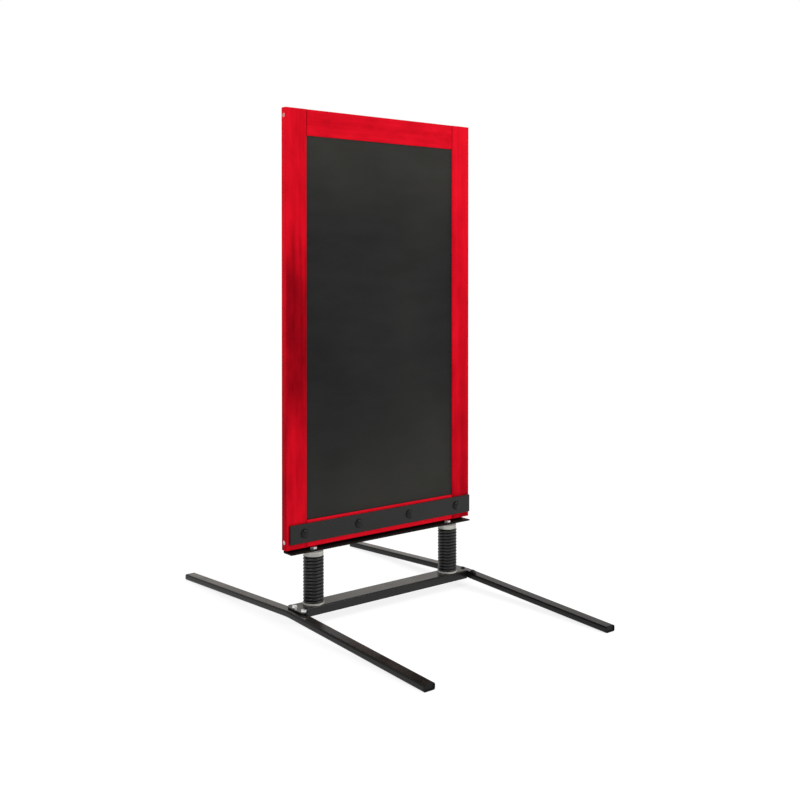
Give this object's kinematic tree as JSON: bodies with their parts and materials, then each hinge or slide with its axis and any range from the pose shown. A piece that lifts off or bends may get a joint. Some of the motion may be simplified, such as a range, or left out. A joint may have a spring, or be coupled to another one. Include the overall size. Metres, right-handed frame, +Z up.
{
  "type": "sprung pavement sign",
  "caption": "Framed chalkboard sign held upright on two coil springs over a steel channel base with long splayed feet; it rocks in the wind and returns.",
  "frame": {"origin": "on the floor, midway between the two springs and midway between the feet's front and rear tips", "axes": "+Z up; the writing side with the strap faces -Y; +X runs along the base channel to the viewer's right"},
  "size_m": [0.642, 1.104, 1.3481],
  "materials": {
    "red_timber": "satin paint over timber",
    "bare_dowel": "plain",
    "chalk_surface": "matt chalkboard paint on board",
    "black_steel": "satin powder coat",
    "spring_steel": "semi-gloss black",
    "grey_plug": "moulded",
    "black_plastic": "moulded",
    "zinc_steel": "bright zinc plate",
    "black_bolts": "black plated"
  },
  "bodies": {
    "base": {"bottom_plug_left": "grey_plug", "bottom_plug_right": "grey_plug", "bottom_spring_washers": "zinc_steel", "bottom_spring_bolts": "zinc_steel", "base_bar": "black_steel", "hub_plate_left": "black_steel", "hub_plate_right": "black_steel", "foot_left": "black_steel", "foot_right": "black_steel", "end_cap_front_left": "black_plastic", "end_cap_front_right": "black_plastic", "end_cap_rear_left": "black_plastic", "end_cap_rear_right": "black_plastic", "foot_bolts_left": "zinc_steel", "foot_bolts_right": "black_bolts", "spring_left": "spring_steel", "spring_right": "spring_steel"},
    "board": {"stile_left": "red_timber", "stile_right": "red_timber", "rail_top": "red_timber", "rail_bottom": "red_timber", "frame_dowels": "bare_dowel", "corner_screws": "zinc_steel", "chalk_panel": "chalk_surface", "front_strap": "black_steel", "support_angle": "black_steel", "strap_bolts": "black_steel", "strap_washers": "zinc_steel", "strap_nuts": "zinc_steel", "top_plug_left": "grey_plug", "top_plug_right": "grey_plug", "top_spring_bolts": "zinc_steel"}
  },
  "joints": [
    {"name": "board_rock", "type": "hinge", "parent": "base", "child": "board", "pos_m": [0, 0, 0.1137], "axis": [1, 0, 0], "range_deg": [-12, 12], "stiffness_Nm_per_rad": 150, "springref_deg": 0.4, "deforming": ["spring_left", "spring_right"]}
  ]
}
